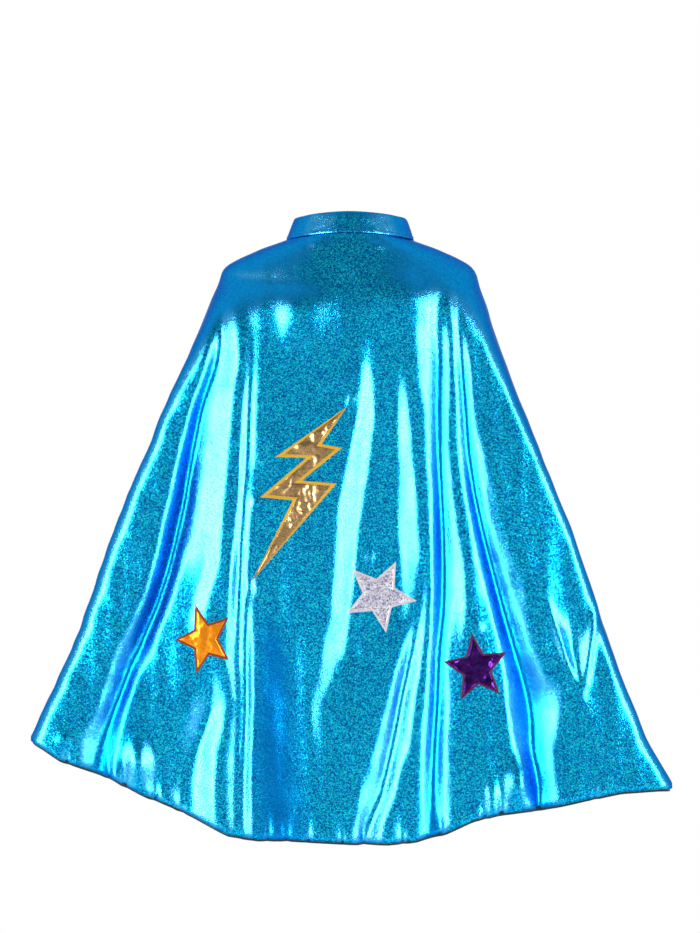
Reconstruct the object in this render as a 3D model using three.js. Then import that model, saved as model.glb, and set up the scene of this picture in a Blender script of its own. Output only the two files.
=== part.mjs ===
// A child's superhero cape: a flared metallic shell with a dark lining, a stand collar that
// closes at the throat with hook-and-loop tape, and four appliques sewn on the back.
//
// Millimetres, +Z up. The origin is the centre of the neck ring, about level with the back
// of the collar seam. -Y is the wearer's back, which carries the appliques, +Y is the front where
// the collar closes, and +X is the wearer's right.
import * as THREE from "three";

// ---- driving dimensions -------------------------------------------------------------------

const GAP = 0.3; // air between neighbouring layers of cloth
const SHELL = 0.8; // thickness of the metallic cloth
const LINING = 0.5; // thickness of the lining cloth

// The draped cape, as level rings from the neck seam down to the hem: half width, depth
// behind and in front, height at the sides, behind and in front, and how far round from the
// middle of the back each side reaches before its front edge, in degrees. `square` shapes
// the back half of the ring: 2 is an ellipse, and more is flatter with tighter corners.
const RINGS = [
  { wide: 69.5, back: 62, front: 60, zSide: -7, zBack: -2.4, zFront: -16, left: 165, right: 165, square: 2 },
  { wide: 103, back: 68, front: 68, zSide: -19, zBack: -20, zFront: -38, left: 166, right: 166, square: 2.2 },
  { wide: 135, back: 76, front: 74, zSide: -36, zBack: -50, zFront: -68, left: 164, right: 162, square: 2.8 },
  { wide: 146, back: 82, front: 80, zSide: -62, zBack: -86, zFront: -104, left: 158, right: 152, square: 5 },
  { wide: 170, back: 86, front: 84, zSide: -128, zBack: -160, zFront: -172, left: 144, right: 128, square: 9 },
  { wide: 207, back: 89, front: 84, zSide: -226, zBack: -266, zFront: -266, left: 128, right: 105, square: 14 },
  { wide: 250, back: 92, front: 82, zSide: -340, zBack: -388, zFront: -376, left: 114, right: 94, square: 18 },
  { wide: 291, back: 98, front: 78, zSide: -460, zBack: -518, zFront: -484, left: 104, right: 92, square: 20 },
  { wide: 347, back: 108, front: 72, zSide: -584, zBack: -655, zFront: -592, left: 96, right: 92, square: 20 },
];
const CROWN = 0.1; // how much of the back's depth is a gentle crown instead of flat
const HEM_TILT = 24; // the hem's left corner hangs this much higher, its right one lower
const LEAN = -8; // below the shoulders the cape hangs this far to the left, then swings back

// Hanging folds: where each crosses the hem and where it starts, as shares of the way from
// the middle of the back (0) to the right (1) or left (-1) front edge, how far down it
// starts, and its width and depth at the hem. A negative depth folds inwards.
const FOLDS = [
  { hem: -0.9, top: -0.74, start: 0.3, width: 0.07, depth: 9 },
  { hem: -0.74, top: -0.62, start: 0.25, width: 0.08, depth: -12 },
  { hem: -0.55, top: -0.5, start: 0.22, width: 0.085, depth: 15 },
  { hem: -0.4, top: -0.42, start: 0.25, width: 0.06, depth: -9 },
  { hem: -0.28, top: -0.38, start: 0.22, width: 0.075, depth: 13 },
  { hem: -0.13, top: -0.26, start: 0.35, width: 0.07, depth: -11 },
  { hem: 0.02, top: -0.02, start: 0.4, width: 0.08, depth: 10 },
  { hem: 0.13, top: 0.14, start: 0.45, width: 0.05, depth: -6 },
  { hem: 0.24, top: 0.33, start: 0.22, width: 0.06, depth: 13 },
  { hem: 0.35, top: 0.38, start: 0.25, width: 0.055, depth: -9 },
  { hem: 0.46, top: 0.43, start: 0.22, width: 0.07, depth: 14 },
  { hem: 0.62, top: 0.52, start: 0.25, width: 0.08, depth: -12 },
  { hem: 0.78, top: 0.64, start: 0.3, width: 0.08, depth: 9 },
];
const CAPE_CELLS = { round: 72, down: 16 };

// The collar is one turn and a bit of a cone, wound as a shallow spiral so that its right
// end laps over its left end. Angles are degrees round from the middle of the back.
const COLLAR = {
  height: 22.5,
  wide: 69,
  deep: 61,
  leanIn: 8.5, // the top edge stands this much further in than the seam
  rise: 1.2, // height of the lower edge above the cape's neck edge
  spiral: 6, // how much the radius grows in one full turn
};
const COLLAR_ENDS = { under: -205, fold: 165, over: 212 };
const FOLD_GAP = 1.2; // degrees left open where the lapping end folds back
const INTERFACING = 0.4;
const TAPE = { thick: 0.9, height: 16, hook: [171, 207], loop: [-201, -163] };
const TOPSTITCH = { above: 3.2, size: 0.7 };

const LABEL = { wide: 24, long: 34, thick: 0.5, inFromSeam: 3.4 };

// Appliques: centre of each on the back, seen from behind, and its outline, anticlockwise.
const PATCH = { thick: 0.6, lift: 1.6, edging: 3, edgingThick: 1.2, cell: 14 };
const BOLT = {
  at: [-53, -284],
  outline: [[51, 93], [-26, 39], [7, 38], [-42, -4], [-7, -7], [-51, -94], [40, 11], [3, 14], [46, 49], [24, 53]],
};
const STARS = {
  silver: { at: [32.6, -393], points: 40.5, turn: -26, squeeze: 1 },
  orange: { at: [-153.5, -439], points: 39, turn: 19, squeeze: 0.82 },
  purple: { at: [136, -470], points: 38.5, turn: 8, squeeze: 0.94 },
};
const STAR_WAIST = 0.45; // the star's inner corners, as a share of its points' radius

const COLOURS = {
  shell: { color: 0x0a86c8, roughness: 0.32, metalness: 0.85 },
  lining: { color: 0x0b0c10, roughness: 0.6, metalness: 0 },
  interfacing: { color: 0xe8e6de, roughness: 0.9, metalness: 0 },
  tape: { color: 0x0d3d66, roughness: 0.9, metalness: 0 },
  thread: { color: 0x1193cc, roughness: 0.55, metalness: 0 },
  label: { color: 0xf2f1ec, roughness: 0.6, metalness: 0 },
  gold: { color: 0xb98a3a, roughness: 0.22, metalness: 0.95 },
  goldThread: { color: 0xe3b645, roughness: 0.5, metalness: 0.1 },
  silver: { color: 0xc9ccd6, roughness: 0.25, metalness: 0.8 },
  silverThread: { color: 0xe6e0dd, roughness: 0.5, metalness: 0 },
  orange: { color: 0xf08a1c, roughness: 0.22, metalness: 0.85 },
  orangeThread: { color: 0xe9692a, roughness: 0.5, metalness: 0 },
  purple: { color: 0x4a1d78, roughness: 0.2, metalness: 0.85 },
  purpleThread: { color: 0xa5307f, roughness: 0.5, metalness: 0 },
};

// ---- the draped surface -------------------------------------------------------------------

const radians = THREE.MathUtils.degToRad;

const ringCurve = (keys) => {
  const points = RINGS.map((ring) => new THREE.Vector3(...keys.map((key) => ring[key])));
  return new THREE.CatmullRomCurve3(points, false, "catmullrom", 0.5);
};
const ringSizes = ringCurve(["wide", "back", "front"]);
const ringHeights = ringCurve(["zSide", "zBack", "zFront"]);
const ringEnds = ringCurve(["left", "right", "square"]);

// How far the folds push the cloth out at a place across (-1 to 1) and down (0 to 1).
function foldDepth(across, down) {
  return FOLDS.reduce((sum, fold) => {
    const grown = THREE.MathUtils.smoothstep(down, fold.start, 1.1);
    const middle = THREE.MathUtils.lerp(fold.top, fold.hem, down);
    const width = fold.width * (0.45 + 0.55 * down);
    return sum + fold.depth * 1.5 * grown * Math.exp(-(((across - middle) / width) ** 2));
  }, 0);
}

// The height of a ring at an angle round from the middle of the back.
function ringLevel(down, angle) {
  const { x: side, y: back, z: front } = ringHeights.getPoint(down);
  const middle = Math.cos(angle) > 0 ? back : front;
  return THREE.MathUtils.lerp(middle, side, Math.abs(Math.sin(angle)) ** 1.7);
}

// The cape's middle surface without its folds.
function bell(across, down) {
  const { x: wide, y: back, z: front } = ringSizes.getPoint(down);
  const { x: left, y: right, z: square } = ringEnds.getPoint(down);
  const angle = radians(across < 0 ? left : right) * across;
  const sine = Math.sin(angle);
  const cosine = Math.cos(angle);
  const flat = Math.sqrt(Math.max(0, 1 - Math.abs(sine) ** square));
  const behind = back * ((1 - CROWN) * flat + CROWN * cosine ** 2);
  const { smoothstep } = THREE.MathUtils;
  const lean = LEAN * (smoothstep(down, 0.3, 0.6) - 1.8 * smoothstep(down, 0.8, 1.1));
  return new THREE.Vector3(
    wide * sine + lean,
    cosine > 0 ? -behind : -front * cosine,
    ringLevel(down, angle) - HEM_TILT * (sine * down) ** 3,
  );
}

// The outward normal of a surface given by two shares, by small steps either way.
function normalOf(surface, across, down) {
  const step = 1e-3;
  const left = Math.max(across - step, -1);
  const up = Math.max(down - step, 0);
  const along = surface(Math.min(across + step, 1), down).sub(surface(left, down));
  const fall = surface(across, Math.min(down + step, 1)).sub(surface(across, up));
  return fall.cross(along).normalize();
}

function folded(across, down) {
  const out = normalOf(bell, across, down).multiplyScalar(foldDepth(across, down));
  return bell(across, down).add(out);
}

// A point on the cape, `out` millimetres outside its inner face.
function onCape(across, down, out) {
  return folded(across, down).addScaledVector(normalOf(folded, across, down), out);
}

// Where a point seen from straight behind lies on the cape: two shares, found by Newton steps.
function seenFromBehind(x, z) {
  let across = x / 500;
  let down = THREE.MathUtils.clamp(-z / 650, 0.05, 0.95);
  const step = 1e-3;
  for (let round = 0; round < 25; round++) {
    const here = folded(across, down);
    const toSide = folded(across + step, down).sub(here).divideScalar(step);
    const below = folded(across, down + step).sub(here).divideScalar(step);
    const area = toSide.x * below.z - below.x * toSide.z;
    const missX = x - here.x;
    const missZ = z - here.z;
    across += (missX * below.z - below.x * missZ) / area;
    down += (toSide.x * missZ - missX * toSide.z) / area;
    down = THREE.MathUtils.clamp(down, 0.01, 0.99);
  }
  return [across, down];
}

// ---- shapes -------------------------------------------------------------------------------

// Bends a geometry: each vertex (x, y, z) goes to place(x, y, z).
function bend(geometry, place) {
  const position = geometry.getAttribute("position");
  for (let i = 0; i < position.count; i++) {
    const at = place(position.getX(i), position.getY(i), position.getZ(i));
    position.setXYZ(i, at.x, at.y, at.z);
  }
  geometry.computeVertexNormals();
  return geometry;
}

// A thin closed sheet: the same grid of cells for its two faces and a wall round its edge.
// place(round, up, through) gives the point for three shares from 0 to 1.
function sheet(cellsRound, cellsUp, place) {
  const grid = new THREE.PlaneGeometry(1, 1, cellsRound, cellsUp);
  const spots = grid.getAttribute("position");
  const vertices = [];
  for (const through of [1, 0]) {
    for (let i = 0; i < spots.count; i++) {
      vertices.push(place(spots.getX(i) + 0.5, spots.getY(i) + 0.5, through));
    }
  }
  const outside = Array.from(grid.index.array);
  const inside = outside.map((vertex) => vertex + spots.count).reverse();
  const row = cellsRound + 1;
  const rim = [
    ...Array.from({ length: cellsUp }, (_, i) => i * row),
    ...Array.from({ length: cellsRound }, (_, i) => cellsUp * row + i),
    ...Array.from({ length: cellsUp }, (_, i) => (cellsUp - i) * row + cellsRound),
    ...Array.from({ length: cellsRound }, (_, i) => cellsRound - i),
  ];
  const wall = rim.flatMap((a, i) => {
    const b = rim[(i + 1) % rim.length];
    return [b, a, a + spots.count, b, a + spots.count, b + spots.count];
  });
  const geometry = new THREE.BufferGeometry().setFromPoints(vertices);
  geometry.setIndex([...outside, ...inside, ...wall]);
  geometry.computeVertexNormals();
  return geometry;
}

function capeLayer(inner, thickness) {
  return sheet(CAPE_CELLS.round, CAPE_CELLS.down, (round, up, through) =>
    onCape(2 * round - 1, 1 - up, inner + thickness * through),
  );
}

// A point on the collar: degrees round, millimetres above its lower edge, and out from the
// middle of its cloth.
function onCollar(degrees, above, out) {
  const angle = radians(degrees);
  const grown = (COLLAR.spiral * degrees) / 360 - (COLLAR.leanIn * above) / COLLAR.height;
  const wide = COLLAR.wide + grown;
  const deep = COLLAR.deep + grown;
  const away = new THREE.Vector2(Math.sin(angle) / wide, -Math.cos(angle) / deep).normalize();
  return new THREE.Vector3(
    wide * Math.sin(angle) + away.x * out,
    -deep * Math.cos(angle) + away.y * out,
    COLLAR.rise + ringLevel(0, angle) + above,
  );
}

// A band of the collar between two angles and two heights, from `inner` outwards.
function collarBand([from, to], [low, high], inner, thickness) {
  const cells = Math.max(4, Math.round((to - from) / 6));
  return sheet(cells, 2, (round, up, through) =>
    onCollar(
      THREE.MathUtils.lerp(from, to, round),
      THREE.MathUtils.lerp(low, high, up),
      inner + thickness * through,
    ),
  );
}

function star(points, turn, squeeze) {
  return Array.from({ length: 10 }, (_, i) => {
    const radius = i % 2 ? points * STAR_WAIST : points;
    const angle = radians(90 + turn + 36 * i);
    return [radius * Math.cos(angle) * squeeze, radius * Math.sin(angle)];
  });
}

// The outline moved outwards by a distance, with mitred corners.
function grow(outline, distance) {
  const corners = outline.map(([x, y]) => new THREE.Vector2(x, y));
  const turned = THREE.ShapeUtils.isClockWise(corners) ? -1 : 1;
  return corners.map((corner, i) => {
    const before = corners[(i + corners.length - 1) % corners.length];
    const after = corners[(i + 1) % corners.length];
    const into = corner.clone().sub(before).normalize();
    const leaving = after.clone().sub(corner).normalize();
    const across = new THREE.Vector2(into.y + leaving.y, -into.x - leaving.x).multiplyScalar(turned);
    const reach = Math.min(2 / across.lengthSq(), 6);
    return [corner.x + across.x * distance * reach, corner.y + across.y * distance * reach];
  });
}

// Halves the longest side of a triangle until no side is longer than `most`.
function refine(triangle, most, out) {
  const sides = [0, 1, 2].map((i) => triangle[i].distanceTo(triangle[(i + 1) % 3]));
  const longest = sides.indexOf(Math.max(...sides));
  if (sides[longest] <= most) return out.push(...triangle);
  const [a, b, c] = [0, 1, 2].map((i) => triangle[(longest + i) % 3]);
  const middle = a.clone().add(b).multiplyScalar(0.5);
  refine([a, middle, c], most, out);
  return refine([middle, b, c], most, out);
}

function refined(geometry, most) {
  const position = geometry.getAttribute("position");
  const corner = (i) => new THREE.Vector3().fromBufferAttribute(position, i);
  const out = [];
  for (let i = 0; i < position.count; i += 3) {
    refine([corner(i), corner(i + 1), corner(i + 2)], most, out);
  }
  return new THREE.BufferGeometry().setFromPoints(out);
}

const pathOf = (outline, Kind) => new Kind(outline.map(([x, y]) => new THREE.Vector2(x, y)));

// Cuts a flat outline from sheet, with an optional hole, and lays it on the cape's back.
function layOnCape(outline, hole, [x, z], lift, thickness) {
  const shape = pathOf(outline, THREE.Shape);
  if (hole) shape.holes.push(pathOf(hole, THREE.Path));
  const flat = new THREE.ExtrudeGeometry(shape, { depth: thickness, bevelEnabled: false });
  return bend(refined(flat, PATCH.cell), (dx, dy, through) => {
    const [across, down] = seenFromBehind(x + dx, z + dy);
    return onCape(across, down, SHELL + lift + through);
  });
}

// ---- the object ---------------------------------------------------------------------------

const cape = new THREE.Group();

function add(name, geometry, look) {
  const mesh = new THREE.Mesh(geometry, new THREE.MeshStandardMaterial(COLOURS[look]));
  mesh.name = name;
  cape.add(mesh);
}

function addCloth() {
  add("cape_shell", capeLayer(0, SHELL), "shell");
  add("cape_lining", capeLayer(-GAP - LINING, LINING), "lining");
}

// The collar's layers from the neck outwards are lining, interfacing and shell cloth. The
// lapping end is the same three layers beyond the fold, on the body that swings open.
function addCollar() {
  const layers = [
    ["lining", -INTERFACING / 2 - GAP - LINING, LINING, "lining", 0],
    ["interfacing", -INTERFACING / 2, INTERFACING, "interfacing", 1.5],
    ["outer", INTERFACING / 2 + GAP, SHELL, "shell", 0],
  ];
  const { under, fold, over } = COLLAR_ENDS;
  for (const [layer, inner, thickness, look, inset] of layers) {
    const heights = [inset, COLLAR.height - inset];
    add(`collar_${layer}`, collarBand([under + inset, fold], heights, inner, thickness), look);
    add(`tab_${layer}`, collarBand([fold + FOLD_GAP, over - inset], heights, inner, thickness), look);
  }
  const outside = INTERFACING / 2 + GAP + SHELL + GAP;
  const inside = -INTERFACING / 2 - GAP - LINING - GAP;
  const tapeHeights = [(COLLAR.height - TAPE.height) / 2, (COLLAR.height + TAPE.height) / 2];
  add("loop_tape", collarBand(TAPE.loop, tapeHeights, outside, TAPE.thick), "tape");
  add("hook_tape", collarBand(TAPE.hook, tapeHeights, inside - TAPE.thick, TAPE.thick), "tape");
  const { above, size } = TOPSTITCH;
  const seam = [-158, fold - 2];
  add("collar_topstitching", collarBand(seam, [above, above + size], outside, size), "thread");
}

function addLabel() {
  const { wide, long, thick, inFromSeam } = LABEL;
  const label = new THREE.BoxGeometry(wide, thick, long);
  const top = COLLAR.rise + RINGS[0].zBack - GAP;
  label.translate(0, -COLLAR.deep + inFromSeam, top - long / 2);
  add("care_label", label, "label");
}

function addApplique(patchName, edgingName, outline, at, look) {
  const inner = grow(outline, -PATCH.edging);
  add(patchName, layOnCape(inner, null, at, PATCH.lift, PATCH.thick), look);
  const hole = grow(inner, GAP);
  add(edgingName, layOnCape(outline, hole, at, PATCH.lift, PATCH.edgingThick), `${look}Thread`);
}

function addAppliques() {
  addApplique("lightning_bolt", "bolt_edging", BOLT.outline, BOLT.at, "gold");
  for (const [name, { at, points, turn, squeeze }] of Object.entries(STARS)) {
    addApplique(`${name}_star`, `${name}_star_edging`, star(points, turn, squeeze), at, name);
  }
}

addCloth();
addCollar();
addLabel();
addAppliques();

export default cape;
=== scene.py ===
import math

import bmesh
import bpy
import numpy as np
from mathutils import Matrix, Vector, noise
from mathutils.bvhtree import BVHTree


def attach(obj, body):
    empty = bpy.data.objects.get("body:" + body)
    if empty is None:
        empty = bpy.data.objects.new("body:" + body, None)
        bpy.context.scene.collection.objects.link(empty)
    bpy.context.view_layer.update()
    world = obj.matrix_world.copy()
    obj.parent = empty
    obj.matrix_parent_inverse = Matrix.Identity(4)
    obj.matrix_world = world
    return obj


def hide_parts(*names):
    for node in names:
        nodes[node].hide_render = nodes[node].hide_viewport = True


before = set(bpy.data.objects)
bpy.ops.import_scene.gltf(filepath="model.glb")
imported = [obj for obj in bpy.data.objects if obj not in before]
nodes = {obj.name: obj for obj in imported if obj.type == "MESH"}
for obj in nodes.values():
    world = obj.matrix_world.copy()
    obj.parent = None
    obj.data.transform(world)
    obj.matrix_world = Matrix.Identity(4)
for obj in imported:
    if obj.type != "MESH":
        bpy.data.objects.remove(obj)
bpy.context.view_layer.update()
scene = bpy.context.scene
mm = 0.001

print("studio")

studio = {
    "cameraAt": (1.1 * mm, -3.2, -255 * mm),  # level with the middle of the cape's height
    "lens": 112.3,
    "floorHeight": -1.05,
    "softboxes": [  # place, width, height, radiance
        ((-2.2, -1.9, 0), 0.42, 2.1, 27.0),
        ((2.2, -1.9, 0), 0.42, 2.1, 27.0),
    ],
    "target": (0, -0.05, -0.3),
}


def makeCamera():
    lens = bpy.data.cameras.new("camera")
    lens.sensor_width = 36
    lens.lens = studio["lens"]
    camera = bpy.data.objects.new("camera", lens)
    camera.location = studio["cameraAt"]
    camera.rotation_euler = (math.pi / 2, 0, 0)
    scene.collection.objects.link(camera)
    scene.camera = camera


def makeSoftboxes():
    for place, width, height, radiance in studio["softboxes"]:
        light = bpy.data.lights.new("softbox", "AREA")
        light.shape = "RECTANGLE"
        light.size = width
        light.size_y = height
        light.energy = radiance * width * height * math.pi
        box = bpy.data.objects.new("softbox", light)
        box.location = place
        aim = Vector(studio["target"]) - Vector(place)
        box.rotation_euler = aim.to_track_quat("-Z", "Y").to_euler()
        scene.collection.objects.link(box)


def makeWorld():
    world = bpy.data.worlds.new("studio")
    scene.world = world
    world.use_nodes = True
    tree = world.node_tree
    tree.nodes.clear()
    out = tree.nodes.new("ShaderNodeOutputWorld")
    pick = tree.nodes.new("ShaderNodeMixShader")
    path = tree.nodes.new("ShaderNodeLightPath")
    seen = tree.nodes.new("ShaderNodeBackground")
    seen.inputs["Color"].default_value = (1, 1, 1, 1)
    around = tree.nodes.new("ShaderNodeBackground")
    place = tree.nodes.new("ShaderNodeTexCoord")
    split = tree.nodes.new("ShaderNodeSeparateXYZ")
    tree.links.new(place.outputs["Generated"], split.inputs[0])
    shares = []
    for axis, low, high in (("Z", 0.1, 0.6), ("Y", 0.15, -0.5)):  # darker above the camera
        share = tree.nodes.new("ShaderNodeMapRange")
        share.interpolation_type = "SMOOTHSTEP"
        share.inputs["From Min"].default_value = low
        share.inputs["From Max"].default_value = high
        tree.links.new(split.outputs[axis], share.inputs["Value"])
        shares.append(share.outputs["Result"])
    both = tree.nodes.new("ShaderNodeMath")
    both.operation = "MULTIPLY"
    tree.links.new(shares[0], both.inputs[0])
    tree.links.new(shares[1], both.inputs[1])
    level = tree.nodes.new("ShaderNodeMapRange")
    level.inputs["To Min"].default_value = 0.8
    level.inputs["To Max"].default_value = 0.42
    tree.links.new(both.outputs[0], level.inputs["Value"])
    tree.links.new(level.outputs["Result"], around.inputs["Strength"])
    tree.links.new(path.outputs["Is Camera Ray"], pick.inputs[0])
    tree.links.new(around.outputs[0], pick.inputs[1])
    tree.links.new(seen.outputs[0], pick.inputs[2])
    tree.links.new(pick.outputs[0], out.inputs["Surface"])


makeCamera()
makeSoftboxes()
makeWorld()
scene.view_settings.view_transform = "Standard"

print("drape of the cape")

drape = {
    # level rings from neck to hem: half width, depth behind and in front, height at the
    # side, behind and in front, reach of the left and right front edges in degrees, and how
    # square the back is, where 2 is an ellipse
    "rings": [
        (69.5, 62, 60, -7, -2.4, -16, 165, 165, 2),
        (103, 68, 68, -19, -20, -38, 166, 166, 2.2),
        (135, 76, 74, -36, -50, -68, 164, 162, 2.3),
        (146, 82, 80, -62, -86, -104, 158, 152, 3),
        (170, 86, 84, -128, -160, -172, 144, 128, 7),
        (207, 89, 84, -226, -266, -266, 128, 105, 14),
        (250, 92, 82, -340, -388, -376, 114, 94, 18),
        (291, 98, 78, -460, -518, -484, 104, 92, 20),
        (343, 108, 72, -582, -652, -590, 96, 92, 20),
    ],
    "hemTilt": 24,
    "crown": 0.1,  # how much of the back's depth is a gentle crown instead of flat
    "lean": -3,
    "rightSwing": 0.02,  # how much further the right flank stands out above the hem
    "cornerFlare": 9,  # the right corner stands out
    "flareAcross": (270, 343),
    "flareRise": 60,  # it fades out this far above the hem
    "hemRise": 170,  # so does the hem line's pull
    "neckRoll": (2.6, 1.8, 1.1, 0.9),  # middle, reach, height and unevenness of the roll at the seam
    "columns": 344,
    "rows": 144,
}

# creases of the hanging back at ten levels: for each crease how far across it lies, seen
# from behind, and how far it stands out, in millimetres
hang = {
    -62: [(-150, 0), (-140, 0), (-139, 0), (-137, 0), (-135, 0), (-128, 0), (-126, 0), (-124, 0),
          (-122, 0), (-118, 0), (-112, 0), (-85, 0), (-75, 0), (-60, 0), (20, 0), (30, 0), (50, 0),
          (62, 0), (64, 0), (66, 0), (68, 0), (74, 0), (84, 0), (95, -1), (104, 0), (105.5, 0), (108, 0),
          (109.5, 0), (112, 0), (115, 0), (117, 0), (119, 0), (122, 0), (130, 0)],
    -130: [(-164, 3), (-152, 4), (-147, 2), (-141, -5), (-131, -2), (-117, 4), (-114, 4), (-112, 4),
           (-109, 4), (-106, 1.5), (-97, 3), (-80, 3), (-72, 3), (-60, 3), (14, 3), (22, 1.5), (50, 1),
           (60, 1.5), (63, 1.8), (66, 2), (69, 2.2), (72, 2.5), (86, -2), (97, -8), (106, -4),
           (108, -2.5), (112, -2.5), (114.5, -3.5), (121, -8), (127, -3), (129, -2), (131, -2),
           (134, -3), (150, 0)],
    -200: [(-200, 5), (-174, 6), (-169, 4), (-161, -8), (-149, -2), (-124, 7), (-120, 7), (-117, 7),
           (-113, 7), (-108, 2), (-98, 5), (-85, 5), (-75, 5), (-60, 5), (8, 6), (28, -4), (52, -5),
           (66, 1.5), (70, 1.5), (74, 1.5), (77, 1.5), (80, 1.5), (86, -1), (96, -8.5), (105, -3.5),
           (108.5, -1.5), (115, -1.5), (119, -3), (126, -9), (133, -3), (138, -0.8), (145, -0.8),
           (152, -1), (185, -1)],
    -250: [(-218, 6), (-187, 7), (-182, 5), (-170, -11), (-156, -2), (-127, 9), (-123, 8.6), (-120, 8.8),
           (-116, 9), (-110, 3), (-100, 6.5), (-88, 6.5), (-78, 6.5), (-65, 6.5), (-3, 8), (24, -5),
           (52, -5), (70, 2.5), (73, 2.5), (76, 2.5), (79, 2.5), (82, 2.5), (88, 0), (97, -8.5),
           (106, -3), (110.5, -1), (118, -1), (122, -2.7), (130, -9.5), (139, -2), (148, 2), (158, 2),
           (168, 1.5), (200, 1)],
    -303: [(-236, 7), (-198, 8), (-193, 6), (-180, -13), (-166, -3), (-132, 10.5), (-128, 10),
           (-124, 10), (-119, 10.5), (-113, 4), (-104, 8), (-90, 8), (-79, 8), (-66, 8), (-13, 9.5),
           (14, -4), (51, -5), (74, 5.5), (76, 5.5), (79, 5.5), (81, 5.5), (84, 5.5), (90, 3), (100, -7),
           (109, 0), (115, 2.5), (125, 2.5), (130, 0.5), (139, -9), (148, -1), (163, 4), (174, 4),
           (182, 3.5), (216, 2)],
    -402: [(-270, 7), (-225, 9), (-219, 7), (-206, -11), (-192, 1), (-166, 4.5), (-147, 12), (-136, 12),
           (-128, 12), (-118, 3), (-109, 8), (-103, 5), (-80, 4), (-63, 5), (-21, 7.5), (2, -3.5),
           (58, -4), (70, 1), (74, 0.5), (79, 1.5), (84, 4), (87, 4), (91, 2), (101, -9), (112, -1),
           (126, 5), (136, 5), (151, 2), (164, -12), (178, -1), (192, 3.5), (201, 4), (214, 3),
           (250, 1)],
    -457: [(-288, 6), (-252, 8), (-246, 6), (-229, -10), (-214, 1), (-178, 6), (-150, 8), (-138, 9),
           (-133, 10), (-119, 2), (-109, 7), (-104, -1), (-80, 0), (-63, 3), (-32, 6), (-6, -4), (53, 2),
           (59, -0.5), (66, -8), (73, -1), (79, 2), (84, 2), (88, 0), (96, -8), (104, -1), (122, 4),
           (132, 4), (163, 3), (180, -13), (197, 0), (208, 3), (215, 3), (226, 1), (250, 0)],
    -512: [(-305, 5), (-270, 6), (-262, 4), (-248, -9), (-235, 1), (-170, 4), (-147, -3), (-130, 5),
           (-125, 5), (-117, 1), (-109, 5), (-104, -3), (-80, -2), (-63, 1), (-42, 5), (-28, 0), (38, 2),
           (45, -1), (54, -10), (63, -2), (72, 2), (80, 2), (85, 0), (94, -9), (104, 0), (125, 3),
           (140, 3), (168, 2), (194, -18), (221, -1), (238, 3), (246, 3), (256, 3), (280, 3)],
    -567: [(-312, 4), (-296, 4), (-284, 2), (-265, -9), (-246, 1), (-192, -1), (-166, -6), (-138, 7),
           (-128, 6), (-119, 1), (-111, 5), (-106, -3), (-80, -2), (-61, 0), (-40, 3), (-20, 1), (21, 2),
           (33, -3), (43, -12), (52, -3), (60, 1), (72, 1), (80, -1), (91, -9), (101, 0), (114, 3),
           (140, 3), (178, 2), (197, -14), (218, 0), (245, 2), (262, 3), (280, 3), (300, 3)],
    -645: [(-320, 2), (-300, 2), (-287, 1), (-270, -4), (-252, 1), (-196, -2), (-170, -7), (-142, 5),
           (-126, 5), (-120, 1), (-112, 4), (-106, -2), (-70, -3), (-48, 0), (-30, 2), (-12, 1), (0, 1),
           (8, -2), (18, -9), (30, -2), (42, 1), (62, 1), (74, -1), (87, -8), (101, 0), (112, 2),
           (140, 2), (198, 0), (213, -7), (227, 0), (250, 1), (270, 2), (285, 2), (300, 2)],
}

# hollows between the folds where a deeper blue is painted in as shade: places down each one, and how
# far it reaches to each side
paintedShadeHollows = [
    [(-141, -130, 6), (-161, -200, 10), (-180, -303, 13), (-206, -402, 15), (-248, -512, 18),
     (-262, -580, 16)],
    [(-88, -415, 8), (-80, -457, 17), (-80, -512, 24), (-79, -567, 27), (-72, -650, 27)],
    [(97, -120, 7), (96, -200, 9), (100, -303, 9), (101, -402, 9), (94, -512, 10), (88, -640, 11)],
    [(121, -130, 6), (126, -200, 7), (139, -303, 9), (164, -402, 12), (194, -512, 19), (206, -600, 17)],
]

# the hem's height from its left corner to its right one, seen from behind
hemLine = [
    (-344, -546), (-327, -555), (-309, -567), (-283, -576), (-252, -588), (-221, -604), (-190, -616),
    (-160, -631), (-129, -646), (-98, -652), (-67, -652), (-21, -654), (10, -656), (41, -656),
    (72, -653), (102, -645), (133, -631), (164, -624), (210, -619), (256, -609), (289, -602),
    (324, -599), (352, -599),
]

# where the hem's turning pulls the cloth in: how far across, and how deep
hemPinches = [
    (-301, 3), (-256, 3), (-240, 5), (-207, 6), (-179, 3), (-86, 4), (-67, 3), (-44, 4),
    (-7, 3), (16, 3), (57, 4), (97, 4), (144, 6), (163, 5), (203, 6), (262, 2),
]

# soft swellings and dents: across, height, half width, half height, turn in degrees, how far out
swells = [
    (-223, -578, 15, 21, 0, 9),
    (-303, -556, 9, 9, 0, 4),
    (152, -612, 8, 18, 0, 4),
    (180, -600, 15, 22, -20, 8),
    (-50, -92, 32, 32, 0, 11),
    (-36, -13, 8, 4, 10, 1.6),
    (37, -9, 7, 3, -10, 1.5),
    (30, -17, 8, 3, -10, 1.6),
    (58, -78, 30, 28, 0, 6.5),
    (240, -440, 9, 30, 4, -4),
    (229, -450, 5, 50, 19, 4),
    (257, -452, 5, 44, -9, 4),
    (2, -184, 4, 9, -25, 2),
    (-99, -293, 6, 4, 10, 2),
    (-105, -384, 5, 10, 0, 2.4),
    (22, -352, 4, 9, -20, 2),
    (137, -427, 6, 5, 0, 2.2),
    (-78, -632, 12, 22, 10, 3),
    (36, -630, 12, 18, -10, 3),
]


def smoothStep(value, low, high):
    share = np.clip((value - low) / (high - low), 0, 1)
    return share * share * (3 - 2 * share)


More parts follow.
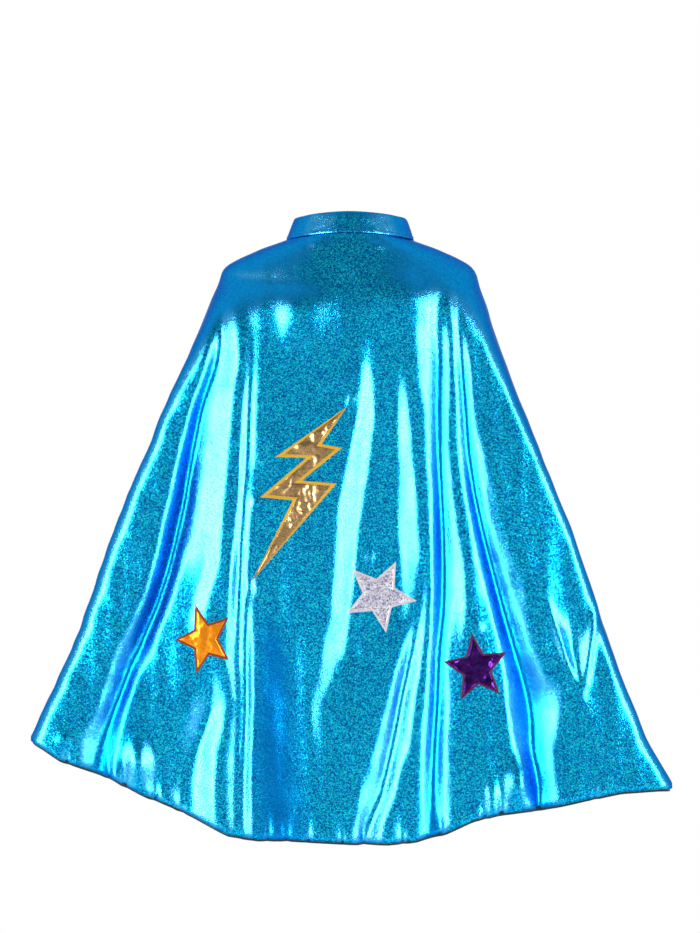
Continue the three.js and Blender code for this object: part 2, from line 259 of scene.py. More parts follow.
def smoothLine(at, stops, values):  # a curve through the values, level beyond its ends
    stops = np.asarray(stops, float)
    values = np.asarray(values, float)
    rates = np.gradient(values, stops)
    at = np.clip(at, stops[0], stops[-1])
    i = np.clip(np.searchsorted(stops, at) - 1, 0, len(stops) - 2)
    span = stops[i + 1] - stops[i]
    t = (at - stops[i]) / span
    return ((1 + 2 * t) * (1 - t) ** 2 * values[i] + t * (1 - t) ** 2 * span * rates[i]
            + t * t * (3 - 2 * t) * values[i + 1] - t * t * (1 - t) * span * rates[i + 1])


def ringAt(down, column):
    rings = np.array(drape["rings"], float)
    return smoothLine(down, np.linspace(0, 1, len(rings)), rings[:, column])


def bell(across, down):  # the cape without its folds, for arrays of shares, in millimetres
    wide, back, front, zSide, zBack, zFront, left, right, square = (ringAt(down, i) for i in range(9))
    angle = np.radians(np.where(across < 0, left, right)) * across
    sine, cosine = np.sin(angle), np.cos(angle)
    lower = smoothStep(down, 0.3, 0.6)  # the flanks hang squarer, the right one from the shoulder down
    square = square * np.where(across < 0, 1 + 4 * lower, 1 + 0.6 * smoothStep(down, 0.2, 0.37) + 3 * lower)
    flat = np.sqrt(np.clip(1 - np.abs(sine) ** square, 0, 1))
    flat = back * ((1 - drape["crown"]) * flat + drape["crown"] * cosine ** 2)
    depth = np.where(cosine > 0, flat, front * cosine)
    middle = np.where(cosine > 0, zBack, zFront)
    side = np.abs(sine) ** 1.7
    lean = drape["lean"] * (smoothStep(down, 0.3, 0.6) - smoothStep(down, 0.8, 1.1))
    swing = smoothStep(down, 0.5, 0.75) * (1 - smoothStep(down, 0.86, 1)) * smoothStep(sine, 0, 1)
    return np.stack([
        wide * sine * (1 + drape["rightSwing"] * swing) + lean,
        -depth,
        middle * (1 - side) + zSide * side - drape["hemTilt"] * (sine * down) ** 3,
    ], -1)


def normalsOf(points):  # outward normals of a grid of points, rows running down
    along = np.gradient(points, axis=1)
    fall = np.gradient(points, axis=0)
    normal = np.cross(fall, along)
    return normal / np.linalg.norm(normal, axis=-1, keepdims=True)


def creaseHeight(points):
    levels = sorted(hang, reverse=True)
    table = np.array([hang[level] for level in levels], float)
    z = points[..., 2]
    x = points[..., 0]
    at = [smoothLine(-z, [-v for v in levels], table[:, i, 0]) for i in range(table.shape[1])]
    high = [smoothLine(-z, [-v for v in levels], table[:, i, 1]) for i in range(table.shape[1])]
    at = np.stack([at[0] - 90] + at + [at[-1] + 90], -1)
    high = np.stack([high[0]] + high + [high[-1]], -1)
    left = np.clip((at <= x[..., None]).sum(-1) - 1, 0, at.shape[-1] - 2)[..., None]
    x0, x1 = (np.take_along_axis(at, left + i, -1)[..., 0] for i in (0, 1))
    h0, h1 = (np.take_along_axis(high, left + i, -1)[..., 0] for i in (0, 1))
    share = np.clip((x - x0) / np.maximum(x1 - x0, 0.5), 0, 1)
    return (h0 + (h1 - h0) * share) * smoothStep(-z, 58, 80)


def blurred(height, rounds=3):  # takes the sharpness off the creases
    for _ in range(rounds):
        side = np.pad(height, ((0, 0), (1, 1)), mode="edge")
        height = side[:, :-2] * 0.25 + side[:, 1:-1] * 0.5 + side[:, 2:] * 0.25
        fall = np.pad(height, ((1, 1), (0, 0)), mode="edge")
        height = fall[:-2] * 0.25 + fall[1:-1] * 0.5 + fall[2:] * 0.25
    return height


def wrinkleHeight(points):  # faint creases that break up the shine
    total = np.zeros(points.shape[:2])
    for i, row in enumerate(points):
        for j, (x, y, z) in enumerate(row):
            long = noise.noise((x / 17, z / 95, 3.1))
            short = noise.noise((x / 30 + z / 60, z / 24, 7.7))
            total[i, j] = 1.2 * long + 0.9 * short
    return total


def noiseAt(first, second, seed):
    both = zip(np.ravel(first), np.ravel(second))
    return np.array([noise.noise((a, b, seed)) for a, b in both]).reshape(np.shape(first))


def swellHeight(points):
    total = 0
    for x, z, wide, tall, turn, high in swells:
        turn = math.radians(turn)
        u = (points[..., 0] - x) * math.cos(turn) + (points[..., 2] - z) * math.sin(turn)
        v = (points[..., 2] - z) * math.cos(turn) - (points[..., 0] - x) * math.sin(turn)
        total = total + high * np.exp(-(u / wide) ** 2 - (v / tall) ** 2)
    return total


# painted shade: how strongly the deeper blue is painted into each hollow between the folds, on the back
# only
def paintedHollowShade(points):
    total = 0
    for path in paintedShadeHollows:
        x, z, reach = np.array(path, float).T
        middle = smoothLine(-points[..., 2], -z, x)
        wide = smoothLine(-points[..., 2], -z, reach)
        inside = smoothStep(-points[..., 2], -z[0] - 15, -z[0] + 35)
        total = total + np.exp(-((points[..., 0] - middle) / wide) ** 2) * inside
    return total * (points[..., 1] < 0)


def hemHeight(points, fromHem):
    x = points[..., 0]
    spots = np.array([v[0] for v in hemPinches], float)
    bounds = np.concatenate([[-335], spots, [345]])
    left = np.clip(np.searchsorted(bounds, x) - 1, 0, len(bounds) - 2)
    span = bounds[left + 1] - bounds[left]
    swell = np.sin(np.pi * np.clip((x - bounds[left]) / span, 0, 1)) * np.minimum(span, 60) * 0.02
    total = swell * np.exp(-fromHem / 26)
    for spot, deep in hemPinches:
        near = np.abs(x - spot) / (2.5 + fromHem * 0.14)
        total = total - deep * np.exp(-near ** 1.4) * np.exp(-(fromHem / 20) ** 1.3)
    roll = 4
    turned = np.clip(roll - fromHem, 0, roll)
    return total - (roll - np.sqrt(roll * roll - turned * turned)) * 0.5


def evenRows(count):  # shares down the cape that space its rows evenly
    fine = np.linspace(0, 1, 400)
    path = bell(np.full(400, 0.3), fine)
    length = np.concatenate([[0], np.cumsum(np.linalg.norm(np.diff(path, axis=0), axis=1))])
    even = np.linspace(0, 1, count)
    closer = even + 0.02 * np.sin(np.pi * even)  # closer at the hem
    return np.interp(closer / closer[-1] * length[-1], length, fine)


def evenColumns(count, down):  # shares across each row that space its columns evenly
    fine = np.linspace(-1, 1, 800)
    rows = []
    for share in down:
        path = bell(fine, np.full(800, share))
        length = np.concatenate([[0], np.cumsum(np.linalg.norm(np.diff(path, axis=0), axis=1))])
        rows.append(np.interp(np.linspace(0, length[-1], count), length, fine))
    return np.array(rows)


def capeGrid(columns, rows):
    down = evenRows(rows + 1)
    across = evenColumns(columns + 1, down)
    down = np.repeat(down[:, None], columns + 1, axis=1)
    points = bell(across, down)
    normals = normalsOf(points)
    steps = np.linalg.norm(np.diff(points, axis=0), axis=-1)
    fromTop = np.concatenate([np.zeros((1, columns + 1)), np.cumsum(steps, axis=0)])
    fromHem = fromTop[-1] - fromTop
    behind = smoothStep(-normals[..., 1], 0.0, 0.35)
    height = blurred(creaseHeight(points)) * behind
    height = height + swellHeight(points) * behind + hemHeight(points, fromHem)
    height = height + wrinkleHeight(points) * smoothStep(down, 0.05, 0.3)
    middle, reach, high, uneven = drape["neckRoll"]
    seam = np.exp(-((fromTop - middle) / reach) ** 2)  # the neck seam lies in a puckered roll
    height = height + seam * (high + uneven * noiseAt(points[..., 0] / 2.6, points[..., 1] / 2.6, 4.4))
    points = points + normals * height[..., None]
    line = np.array(hemLine, float)
    drop = np.interp(points[-1, :, 0], line[:, 0], line[:, 1]) - points[-1, :, 2]
    drop = drop * smoothStep(-points[-1, :, 1], 0, 30)
    points[..., 2] += drop * (1 - smoothStep(fromHem, 0, drape["hemRise"]))
    flare = smoothStep(points[..., 0], *drape["flareAcross"])
    flare = flare * (1 - smoothStep(fromHem, 0, drape["flareRise"]))
    points[..., 0] += drape["cornerFlare"] * flare
    return points


# which cloth is coloured how, by its normal's share across, behind and upwards: a painted highlight on
# sideways slopes, and a painted reflection in how much grain shows
foilShares = {
    "leastGrain": 0.12,
    "grainBehind": (0.84, 0.97),  # the foil's own grain shows in full where the cloth faces behind; turned up or aside it fades to smooth blue, a painted reflection
    "paintedHighlightFrom": (0.2, 0.36),  # slopes turned sideways get a paler painted highlight, from here
    "paintedHighlightUntil": (0.55, 0.75),  # to here
    "paintedHighlightUpward": (0.3, 0.5),  # unless they look up or down
}


def clothShares(points):
    normals = normalsOf(points)
    aside, upward = np.abs(normals[..., 0]), np.abs(normals[..., 2])
    # painted reflection: the grain's share follows how far the cloth faces behind
    faced = smoothStep(-normals[..., 1], *foilShares["grainBehind"])
    # painted highlight: paler colour on slopes turned sideways, where the softboxes' reflections fall
    paintedHighlight = smoothStep(aside, *foilShares["paintedHighlightFrom"]) * (1 - smoothStep(aside, *foilShares["paintedHighlightUntil"]))
    return {
        "grain": foilShares["leastGrain"] + (1 - foilShares["leastGrain"]) * faced,
        "hollowPaintedShade": np.clip(paintedHollowShade(points), 0, 1),
        "paintedHighlight": paintedHighlight * (1 - smoothStep(upward, *foilShares["paintedHighlightUpward"])),
    }


def gridMesh(name, points):  # a sheet of cells laid on a grid of points, rows running down
    rows, columns = points.shape[0] - 1, points.shape[1] - 1
    bm = bmesh.new()
    bmesh.ops.create_grid(bm, x_segments=columns, y_segments=rows, size=0.5, calc_uvs=True)
    mesh = bpy.data.meshes.new(name)
    bm.to_mesh(mesh)
    bm.free()
    flat = np.zeros(len(mesh.vertices) * 3)
    mesh.vertices.foreach_get("co", flat)
    flat = flat.reshape(-1, 3)
    row = np.rint((0.5 - flat[:, 1]) * rows).astype(int)
    column = np.rint((flat[:, 0] + 0.5) * columns).astype(int)
    mesh.vertices.foreach_set("co", (points[row, column] * mm).ravel())
    mesh.update()
    mesh.shade_smooth()
    for look, values in clothShares(points).items():
        share = mesh.attributes.new(look, "FLOAT", "POINT")
        share.data.foreach_set("value", values[row, column].astype(np.float32))
    piece = bpy.data.objects.new(name, mesh)
    scene.collection.objects.link(piece)
    return piece


shellThickness = 0.8


def makeShell():
    points = capeGrid(drape["columns"], drape["rows"])
    shell = gridMesh("capeShell", points)
    cloth = shell.modifiers.new("thickness", "SOLIDIFY")
    cloth.thickness = shellThickness * mm
    cloth.offset = -1
    return shell


shell = makeShell()

print("lining")

lining = {
    "behindShell": 2.2,  # millimetres from the shell's outer face
    "every": 2,  # one cell of the lining to this many of the shell
    "thickness": 0.5,
    "showsBelow": 3,  # it peeps out under the hem
}


def makeLining():
    points = capeGrid(drape["columns"], drape["rows"])
    points = points - normalsOf(points) * lining["behindShell"]
    points[-1, :, 2] -= lining["showsBelow"]
    inner = gridMesh("capeLining", points[::lining["every"], ::lining["every"]])
    cloth = inner.modifiers.new("thickness", "SOLIDIFY")
    cloth.thickness = lining["thickness"] * mm
    cloth.offset = -1
    return inner


liningSheet = makeLining()

print("collar")

collar = {
    "height": 22.5,
    "wide": 69,
    "deep": 61,
    "leanIn": 8.5,
    "rise": 1.2,
    "spiral": 6,
    "under": -205,  # degrees round from the middle of the back
    "fold": 165,
    "over": 212,
    "layers": {"outer": (0.5, 0.8), "interfacing": (-0.2, 0.4), "lining": (-1.0, 0.5)},
    "loopTape": (-201, -163),
    "hookTape": (171, 207),
    "tapeHeight": 16,
    "tapeThick": 0.9,
    "roll": 0.6,  # how far a layer's edges round over, as a share of its thickness
}


def neckLevel(angle):
    ring = drape["rings"][0]
    middle = np.where(np.cos(angle) > 0, ring[4], ring[5])
    return middle + (ring[3] - middle) * np.abs(np.sin(angle)) ** 1.7


def onCollar(degrees, above, out):  # a place round the collar, up from its seam and outwards
    angle = np.radians(degrees)
    grown = collar["spiral"] * degrees / 360 - collar["leanIn"] * above / collar["height"]
    wide = collar["wide"] + grown
    deep = collar["deep"] + grown
    away = np.stack([np.sin(angle) / wide, -np.cos(angle) / deep])
    away = away / np.linalg.norm(away, axis=0)
    return np.stack([
        wide * np.sin(angle) + away[0] * out,
        -deep * np.cos(angle) + away[1] * out,
        collar["rise"] + neckLevel(angle) + above,
    ], -1)


def collarPiece(name, ends, heights, inner, thick, columns, rows, pucker=0.0, wave=0.0):
    degrees, share = np.meshgrid(np.linspace(*ends, columns + 1), np.linspace(0, 1, rows + 1))
    above = heights[1] + (heights[0] - heights[1]) * share
    edge = np.minimum(above - heights[0], heights[1] - above)
    out = inner + thick - collar["roll"] * thick * np.exp(-edge / 0.7)
    out = out + wave * noiseAt(degrees / 16, above / 13, 5.3)
    out = out + pucker * noiseAt(degrees / 1.6, above / 7, 9.1) * np.exp(-np.abs(above - 2.4) / 2.6)
    piece = gridMesh(name, onCollar(degrees, above, out))
    cloth = piece.modifiers.new("thickness", "SOLIDIFY")
    cloth.thickness = thick * mm
    cloth.offset = -1
    return piece


def makeCollar():
    pieces = {}
    top = collar["height"]
    for layer, (inner, thick) in collar["layers"].items():
        inset = 1.5 if layer == "interfacing" else 0
        look = dict(pucker=0.55, wave=0.9) if layer == "outer" else {}
        low = -1.1 if layer == "outer" else inset
        ends = (collar["under"] + inset, collar["fold"])
        pieces["collar_" + layer] = collarPiece(
            "collar" + layer.title(), ends, (low, top - inset), inner, thick, 420, 26, **look)
        ends = (collar["fold"] + 1.2, collar["over"] - inset)
        pieces["tab_" + layer] = collarPiece(
            "tab" + layer.title(), ends, (inset, top - inset), inner, thick, 60, 26)
    reach = (top - collar["tapeHeight"]) / 2
    thick = collar["tapeThick"]
    pieces["loop_tape"] = collarPiece(
        "loopTape", collar["loopTape"], (reach, top - reach), 1.6, thick, 60, 24)
    pieces["hook_tape"] = collarPiece(
        "hookTape", collar["hookTape"], (reach, top - reach), -1.3 - thick, thick, 60, 24)
    return pieces


topstitch = {"above": 2.6, "out": 1.45, "long": 2.3, "every": 3.1, "thick": 0.55, "ends": (-158, 163)}


def makeTopstitching():
    bm = bmesh.new()
    about = math.pi * (collar["wide"] + collar["deep"]) / 180
    first, last = topstitch["ends"]
    count = int((last - first) * about / topstitch["every"])
    for degrees in np.linspace(first, last, count):
        at = onCollar(degrees, topstitch["above"], topstitch["out"])
        ahead = onCollar(degrees + 1, topstitch["above"], topstitch["out"]) - at
        turn = Vector(ahead).to_track_quat("X", "Z").to_matrix().to_4x4()
        turn.translation = Vector(at) * mm
        stitch = bmesh.ops.create_uvsphere(bm, u_segments=8, v_segments=6, radius=0.5)["verts"]
        size = (topstitch["long"] * mm, topstitch["thick"] * mm, topstitch["thick"] * mm)
        bmesh.ops.scale(bm, vec=size, verts=stitch)
        bmesh.ops.transform(bm, matrix=turn, verts=stitch)
    mesh = bpy.data.meshes.new("topstitching")
    bm.to_mesh(mesh)
    bm.free()
    mesh.shade_smooth()
    piece = bpy.data.objects.new("topstitching", mesh)
    scene.collection.objects.link(piece)
    return piece


collarPieces = makeCollar()
stitching = makeTopstitching()

print("care label")

label = {"wide": 24, "long": 34, "thick": 0.5, "inFromSeam": 3.4, "curl": 1.2, "hem": 2.5}


def makeLabel():
    top = collar["rise"] + drape["rings"][0][4] - 0.3
    x, fall = np.meshgrid(np.linspace(-0.5, 0.5, 37), np.linspace(0, 1, 53))
    wave = 0.35 * np.sin(fall * 7) * fall + 0.3 * noiseAt(x * 3, fall * 4, 2.2) * fall
    hems = np.where(fall * label["long"] > label["long"] - label["hem"], 0.25, 0)
    y = -collar["deep"] + label["inFromSeam"] + wave + hems + label["curl"] * x ** 2 * fall
    points = np.stack([x * label["wide"], y, top - fall * label["long"]], -1)
    piece = gridMesh("careLabel", points)
    cloth = piece.modifiers.new("thickness", "SOLIDIFY")
    cloth.thickness = label["thick"] * mm
    cloth.offset = 0
    return piece


careLabel = makeLabel()

print("appliques")

patch = {
    "lift": 0.5,
    "crown": 1.1,
    "cell": 2.2,  # longest side of a patch's triangles
    "waist": 0.45,  # a star's inner corners, as a share of its points' reach
    "thickness": 0.35,
    "underEdging": 0.6,  # how far a patch runs in under its edging
    "splits": 7,  # the most rounds of cutting long triangles
    "stitchEvery": 0.55,
}
appliques = {
    "bolt": dict(at=(-53, -284), crinkle=1.6, edging=3.4, nodes=("lightning_bolt", "bolt_edging"), outline=[
        (51, 93), (-26, 39), (7, 38), (-42, -4), (-7, -7), (-51, -94), (40, 11), (3, 14), (46, 49),
        (24, 53)]),
    "silverStar": dict(at=(32.6, -393), points=40.5, turn=-26, squeeze=1, crinkle=0.25, edging=2.1,
                       nodes=("silver_star", "silver_star_edging")),
    "orangeStar": dict(at=(-153.5, -439), points=39, turn=19, squeeze=0.82, crinkle=1.0, edging=2.3,
                       nodes=("orange_star", "orange_star_edging")),
    "purpleStar": dict(at=(136, -470), points=38.5, turn=8, squeeze=0.94, crinkle=1.5, edging=2.3,
                       nodes=("purple_star", "purple_star_edging")),
}


def starOutline(points, turn, squeeze):
    reach = np.where(np.arange(10) % 2, points * patch["waist"], points)
    angle = np.radians(90 + turn + 36 * np.arange(10))
    return np.stack([reach * np.cos(angle) * squeeze, reach * np.sin(angle)], -1)


def grown(outline, distance):  # an anticlockwise outline moved outwards, with mitred corners
    into = outline - np.roll(outline, 1, axis=0)
    into /= np.linalg.norm(into, axis=1, keepdims=True)
    leaving = np.roll(into, -1, axis=0)
    out = np.stack([into[:, 1] + leaving[:, 1], -into[:, 0] - leaving[:, 0]], -1)
    reach = np.minimum(2 / (out ** 2).sum(1, keepdims=True), 6)
    return outline + out * distance * reach


def insideBy(spot, outline):  # how far a spot lies from the nearest side
    best = 1e9
    for a, b in zip(outline, np.roll(outline, -1, axis=0)):
        side = b - a
        share = np.clip(np.dot(spot - a, side) / np.dot(side, side), 0, 1)
        best = min(best, np.linalg.norm(spot - a - share * side))
    return best


def shellTree():
    bpy.context.view_layer.update()
    return BVHTree.FromObject(shell, bpy.context.evaluated_depsgraph_get())


clothTree = shellTree()


def onShell(x, z, out):  # a spot seen from behind, laid on the shell
    spot, normal = clothTree.ray_cast(Vector((x * mm, -0.5, z * mm)), Vector((0, 1, 0)))[:2]
    return spot + normal * out * mm


def makePatch(name, outline, at, crinkle, edging, seed):
    bm = bmesh.new()
    edge = grown(outline, patch["underEdging"] - edging)
    corners = [bm.verts.new((x, z, 0)) for x, z in edge]
    bm.faces.new(corners)
    bm.normal_update()
    bmesh.ops.triangulate(bm, faces=bm.faces[:])
    for _ in range(patch["splits"]):
        long = [e for e in bm.edges if e.calc_length() > patch["cell"]]
        if not long:
            break
        bmesh.ops.subdivide_edges(bm, edges=long, cuts=1)
        bmesh.ops.triangulate(bm, faces=bm.faces[:])
    for vert in bm.verts:
        x, z = vert.co.x, vert.co.y
        crown = patch["crown"] * (1 - math.exp(-insideBy(np.array((x, z)), edge) / 3.5))
        folds = noise.noise((x / 9, z / 9, seed)) + 0.6 * noise.noise((x / 4.5, z / 4.5, seed))
        rise = patch["lift"] + crown * (0.8 + crinkle * folds)
        vert.co = onShell(at[0] + x, at[1] + z, rise)
    bmesh.ops.recalc_face_normals(bm, faces=bm.faces[:])
    mesh = bpy.data.meshes.new(name)
    bm.to_mesh(mesh)
    bm.free()
    mesh.shade_smooth()
    if sum(p.normal.y for p in mesh.polygons) > 0:
        mesh.flip_normals()
    piece = bpy.data.objects.new(name, mesh)
    scene.collection.objects.link(piece)
    cloth = piece.modifiers.new("thickness", "SOLIDIFY")
    cloth.thickness = patch["thickness"] * mm
    cloth.offset = -1
    return piece


# section of the sewn edge: distance in from the outline, and height over the shell
edgeSection = [
    (0.0, 0.05), (0.1, 0.5), (0.5, 0.95), (1.1, 1.2), (1.7, 0.98), (2.0, 0.62), (2.15, 0.5), (2.35, 0.72),
    (2.65, 0.85), (2.9, 0.7), (3.0, 0.35), (2.6, 0.0), (1.5, -0.1), (0.5, -0.1), (0.0, 0.05)]
sectionWidth = 3


def makeEdging(name, outline, at, edging):
    rows = []
    sides = np.linalg.norm(np.roll(outline, -1, axis=0) - outline, axis=1)
    for inward, high in edgeSection:
        line = grown(outline, -inward * edging / sectionWidth)
        ahead = np.roll(line, -1, axis=0)
        spots = []
        for a, b, side in zip(line, ahead, sides):
            cells = max(6, int(side / 1.4))
            spots += [a + (b - a) * i / cells for i in range(cells)]
        spots.append(line[0])
        rows.append([onShell(at[0] + x, at[1] + z, high) / mm for x, z in spots])
    piece = gridMesh(name, np.array(rows))
    bm = bmesh.new()
    bm.from_mesh(piece.data)
    bmesh.ops.remove_doubles(bm, verts=bm.verts[:], dist=0.004 * mm)
    bmesh.ops.recalc_face_normals(bm, faces=bm.faces[:])
    bm.to_mesh(piece.data)
    bm.free()
    piece["stitches"] = int(sum(sides) / patch["stitchEvery"])
    return piece


applique = {}
for seed, (kind, plan) in enumerate(appliques.items()):
    if "outline" in plan:
        outline = np.array(plan["outline"], float)
    else:
        outline = starOutline(plan["points"], plan["turn"], plan["squeeze"])
    body = makePatch(kind, outline, plan["at"], plan["crinkle"], plan["edging"], seed * 3.7)
    edging = makeEdging(kind + "Edging", outline, plan["at"], plan["edging"])
    applique[kind] = (body, edging)

print("materials")


def newLook(name, **sockets):
    look = bpy.data.materials.new(name)
    look.use_nodes = True
    shader = look.node_tree.nodes["Principled BSDF"]
    for socket, value in sockets.items():
        shader.inputs[socket.replace("_", " ")].default_value = value
    return look, look.node_tree, shader


def addNode(tree, kind, **values):
    node = tree.nodes.new(kind)
    for socket, value in values.items():
        node.inputs[socket.replace("_", " ")].default_value = value
    return node


def addBump(tree, shader, height, strength, distance):
    bump = addNode(tree, "ShaderNodeBump", Strength=strength, Distance=distance * mm)
    tree.links.new(height, bump.inputs["Height"])
    tree.links.new(bump.outputs[0], shader.inputs["Normal"])


def addRamp(tree, source, stops):  # stops are pairs of place and colour
    ramp = tree.nodes.new("ShaderNodeValToRGB")
    first, last = ramp.color_ramp.elements
    first.position, first.color = stops[0]
    last.position, last.color = stops[-1]
    for place, colour in stops[1:-1]:
        ramp.color_ramp.elements.new(place).color = colour
    tree.links.new(source, ramp.inputs[0])
    return ramp.outputs["Color"]


def addNoise(tree, scale, detail=2.0, roughness=0.5):
    place = tree.nodes.new("ShaderNodeTexCoord")
    grain = addNode(tree, "ShaderNodeTexNoise", Scale=scale, Detail=detail, Roughness=roughness)
    tree.links.new(place.outputs["Object"], grain.inputs["Vector"])
    return grain.outputs["Fac"]


def addBlend(tree, attribute, first, second):  # from one colour to another along an attribute
    share = tree.nodes.new("ShaderNodeAttribute")
    share.attribute_name = attribute
    blend = tree.nodes.new("ShaderNodeMix")
    blend.data_type = "RGBA"
    tree.links.new(share.outputs["Fac"], blend.inputs[0])
    tree.links.new(first, blend.inputs[6])
    tree.links.new(second, blend.inputs[7])
    return blend.outputs[2]


def foilCloth():
    look, tree, shader = newLook("foilCloth", Metallic=1, Specular_Tint=(0, 0.35, 0.8, 1), Coat_Weight=0.05,
                                 Coat_Roughness=0.18)
    place = tree.nodes.new("ShaderNodeTexCoord")
    cells = addNode(tree, "ShaderNodeTexVoronoi", Scale=1000)  # the print's fine grains
    tree.links.new(place.outputs["Object"], cells.inputs["Vector"])
    split = tree.nodes.new("ShaderNodeSeparateColor")
    tree.links.new(cells.outputs["Color"], split.inputs[0])
    grains = addRamp(tree, split.outputs[0], [
        (0.0, (0, 0.07, 0.3, 1)), (0.3, (0.0, 0.19, 0.58, 1)), (0.7, (0.004, 0.52, 0.95, 1)),
        (1.0, (0.02, 1, 1, 1))])
    # painted reflection: smooth blue that stands for the pale studio reflected where the cloth turns up or
    # aside; the grains are the foil's own
    smooth = addRamp(tree, addNoise(tree, 260), [
        (0.3, (0.004, 0.3, 0.8, 1)), (0.7, (0.009, 0.38, 0.9, 1))])
    blended = addBlend(tree, "grain", smooth, grains)
    # painted shade: the deeper blue painted into the hollows between the folds
    deep = addRamp(tree, split.outputs[0], [(0.0, (0, 0.16, 0.55, 1)), (1.0, (0.0, 0.34, 0.9, 1))])
    # painted highlight: a paler, whiter foil colour for the sideways slopes that catch the softboxes
    paintedHighlightColour = addRamp(tree, split.outputs[2], [(0.0, (0.025, 0.3, 0.8, 1)), (1.0, (0.085, 0.6, 1, 1))])
    blended = addBlend(tree, "paintedHighlight", blended, paintedHighlightColour)
    tree.links.new(addBlend(tree, "hollowPaintedShade", blended, deep), shader.inputs["Base Color"])
    rough = tree.nodes.new("ShaderNodeMapRange")
    rough.inputs["To Min"].default_value = 0.28
    rough.inputs["To Max"].default_value = 0.18
    tree.links.new(split.outputs[1], rough.inputs["Value"])
    tree.links.new(rough.outputs[0], shader.inputs["Roughness"])
    addBump(tree, shader, addNoise(tree, 850, 1.0), 0.6, 0.5)
    return look


def liningSatin():
    look, tree, shader = newLook("liningSatin", Roughness=0.42, Sheen_Weight=0.15, Specular_IOR_Level=0.35)
    weave = addNoise(tree, 1500, 1.0)
    colour = addRamp(tree, addNoise(tree, 60), [
        (0.3, (0.004, 0.004, 0.006, 1)), (0.7, (0.011, 0.011, 0.014, 1))])
    tree.links.new(colour, shader.inputs["Base Color"])
    addBump(tree, shader, weave, 0.3, 0.2)
    return look


def feltedCloth(name, low, high, scale, rise):
    look, tree, shader = newLook(name, Roughness=0.95, Specular_IOR_Level=0.2)
    fibres = addNoise(tree, scale, 4.0, roughness=0.7)
    tree.links.new(addRamp(tree, fibres, [(0.3, low), (0.7, high)]), shader.inputs["Base Color"])
    addBump(tree, shader, fibres, 0.8, rise)
    return look


def threadLook(name, low, high, stitches, metallic=0.0):
    look, tree, shader = newLook(name, Roughness=0.45, Metallic=metallic, Specular_IOR_Level=0.3)
    place = tree.nodes.new("ShaderNodeTexCoord")
    stretch = addNode(tree, "ShaderNodeMapping", Scale=(stitches, 1, 1))
    wave = addNode(tree, "ShaderNodeTexWave", Scale=0.3142, Distortion=1.2, Detail=1.0)
    tree.links.new(place.outputs["UV"], stretch.inputs["Vector"])
    tree.links.new(stretch.outputs[0], wave.inputs["Vector"])
    split = tree.nodes.new("ShaderNodeSeparateXYZ")
    tree.links.new(place.outputs["UV"], split.inputs[0])
    dark, light = (0.12, 0.12, 0.12, 1), (1, 1, 1, 1)
    # painted shade in the edging's groove and at its foot against the shell
    paintedGrooveShade = addRamp(tree, split.outputs["Y"], [
        (0.4, light), (0.48, dark), (0.57, dark), (0.64, light), (0.86, light), (0.93, dark)])
    shade = tree.nodes.new("ShaderNodeMix")  # painted shade, darker in the groove and at the foot
    shade.data_type = "RGBA"
    shade.blend_type = "MULTIPLY"
    shade.inputs[0].default_value = 1
    tree.links.new(addRamp(tree, wave.outputs["Fac"], [(0.1, low), (0.8, high)]), shade.inputs[6])
    tree.links.new(paintedGrooveShade, shade.inputs[7])
    tree.links.new(shade.outputs[2], shader.inputs["Base Color"])
    addBump(tree, shader, wave.outputs["Fac"], 0.6, 0.25)
    return look


def mirrorFoil(name, dark, middle, bright, roughness, crinkle):
    look, tree, shader = newLook(name, Metallic=1, Roughness=roughness)
    tree.links.new(addRamp(tree, addNoise(tree, 1100, 3.0), [(0.3, dark), (0.5, middle), (0.7, bright)]),
                   shader.inputs["Base Color"])
    addBump(tree, shader, addNoise(tree, 42, 1.0), 1, crinkle)
    return look


def glitterFoil():
    look, tree, shader = newLook("glitterFoil", Metallic=0.85, Roughness=0.3)
    place = tree.nodes.new("ShaderNodeTexCoord")
    flakes = addNode(tree, "ShaderNodeTexVoronoi", Scale=950)
    tree.links.new(place.outputs["Object"], flakes.inputs["Vector"])
    split = tree.nodes.new("ShaderNodeSeparateColor")
    tree.links.new(flakes.outputs["Color"], split.inputs[0])
    colour = addRamp(tree, split.outputs[0], [
        (0.0, (0.1, 0.09, 0.16, 1)), (0.25, (0.32, 0.31, 0.42, 1)), (0.5, (0.68, 0.68, 0.74, 1)),
        (0.72, (0.9, 0.88, 0.92, 1)), (0.84, (0.36, 0.42, 0.85, 1)), (0.93, (0.8, 0.42, 0.5, 1)),
        (1.0, (0.5, 0.8, 0.66, 1))])
    tree.links.new(colour, shader.inputs["Base Color"])
    addBump(tree, shader, split.outputs[1], 0.5, 0.35)
    return look


def labelRibbon():
    look, tree, shader = newLook("labelRibbon", Roughness=0.5, Sheen_Weight=0.1)
    colour = addRamp(tree, addNoise(tree, 90), [(0.3, (0.72, 0.71, 0.67, 1)), (0.7, (0.86, 0.85, 0.82, 1))])
    tree.links.new(colour, shader.inputs["Base Color"])
    addBump(tree, shader, addNoise(tree, 1800, 1.0), 0.4, 0.2)
    return look


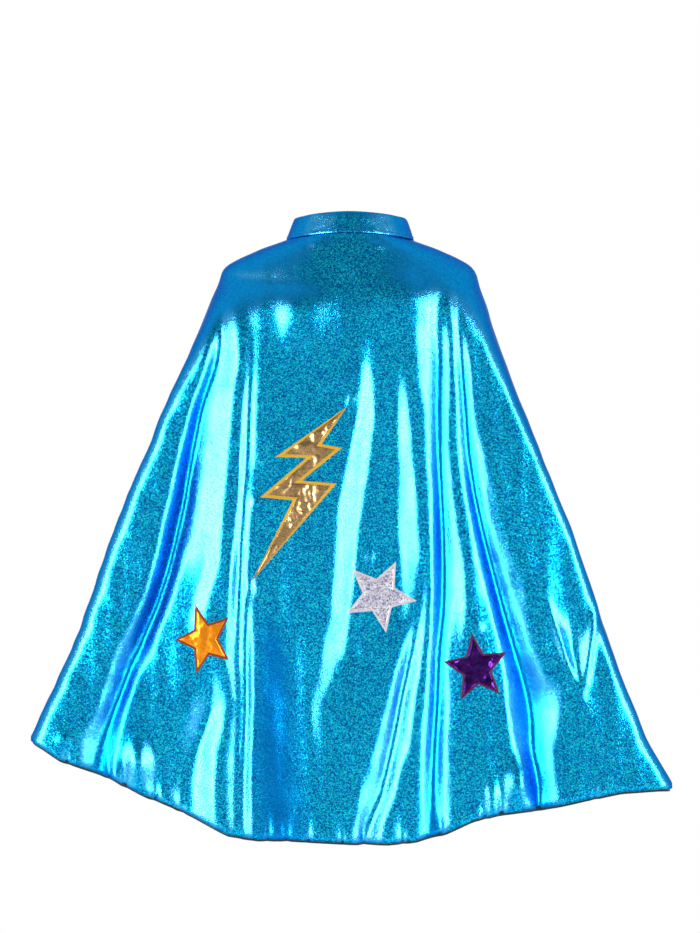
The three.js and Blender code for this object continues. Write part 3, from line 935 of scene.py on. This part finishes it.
foil = foilCloth()
satin = liningSatin()
interfacing = feltedCloth("interfacing", (0.55, 0.54, 0.5, 1), (0.8, 0.79, 0.74, 1), 900, 0.3)
tape = feltedCloth("tape", (0.002, 0.02, 0.06, 1), (0.01, 0.09, 0.2, 1), 1100, 0.8)
blueThread = threadLook("blueThread", (0.0, 0.1, 0.3, 1), (0.01, 0.3, 0.62, 1), 4)
ribbon = labelRibbon()
foils = {
    "bolt": mirrorFoil("goldFoil", (0.2, 0.11, 0.035, 1), (0.4, 0.24, 0.1, 1), (0.7, 0.5, 0.28, 1), 0.3, 8),
    "silverStar": glitterFoil(),
    "orangeStar": mirrorFoil(
        "orangeFoil", (0.8, 0.16, 0.0, 1), (1, 0.3, 0.01, 1), (1, 0.45, 0.06, 1), 0.3, 5),
    "purpleStar": mirrorFoil(
        "purpleFoil", (0.014, 0.0, 0.05, 1), (0.04, 0.006, 0.12, 1), (0.09, 0.03, 0.2, 1), 0.17, 10),
}
threads = {
    "bolt": ((0.5, 0.29, 0.02, 1), (0.92, 0.62, 0.09, 1), 0.2),
    "silverStar": ((0.48, 0.45, 0.46, 1), (0.82, 0.78, 0.79, 1), 0.1),
    "orangeStar": ((0.2, 0.03, 0.004, 1), (0.6, 0.1, 0.01, 1), 0.1),
    "purpleStar": ((0.07, 0.002, 0.05, 1), (0.28, 0.012, 0.17, 1), 0.1),
}


def finishPiece(piece, look, body, node):
    piece.data.materials.append(look)
    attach(piece, body)
    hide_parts(node)


finishPiece(shell, foil, "cape", "cape_shell")
finishPiece(liningSheet, satin, "cape", "cape_lining")

layerLooks = {
    "outer": (foil, "metallic_cloth"),
    "interfacing": (interfacing, "interfacing"),
    "lining": (satin, "lining_cloth"),
    "tape": (tape, "tape"),
}
for node, part in collarPieces.items():
    look, slot = layerLooks[node.split("_")[1]]
    body = "closure_tab" if node in ("tab_outer", "tab_interfacing", "tab_lining", "hook_tape") else "cape"
    finishPiece(part, look, body, node)
finishPiece(stitching, blueThread, "cape", "collar_topstitching")
finishPiece(careLabel, ribbon, "label", "care_label")
for kind, (body, edging) in applique.items():
    patchNode, edgingNode = appliques[kind]["nodes"]
    low, high, shine = threads[kind]
    thread = threadLook(kind + "Thread", low, high, edging["stitches"], shine)
    finishPiece(body, foils[kind], "cape", patchNode)
    finishPiece(edging, thread, "cape", edgingNode)

print("floor")


def makeFloor():
    bm = bmesh.new()
    bmesh.ops.create_circle(bm, cap_ends=True, segments=96, radius=1.7)
    mesh = bpy.data.meshes.new("floor")
    bm.to_mesh(mesh)
    bm.free()
    mesh.transform(Matrix.Translation((0, 0, studio["floorHeight"])))
    ground = bpy.data.objects.new("floor", mesh)
    scene.collection.objects.link(ground)
    look, tree, shader = newLook("floorPaint", Roughness=0.8)
    colour = addRamp(tree, addNoise(tree, 14), [(0.3, (0.82, 0.82, 0.83, 1)), (0.7, (0.86, 0.86, 0.86, 1))])
    tree.links.new(colour, shader.inputs["Base Color"])
    mesh.materials.append(look)


makeFloor()
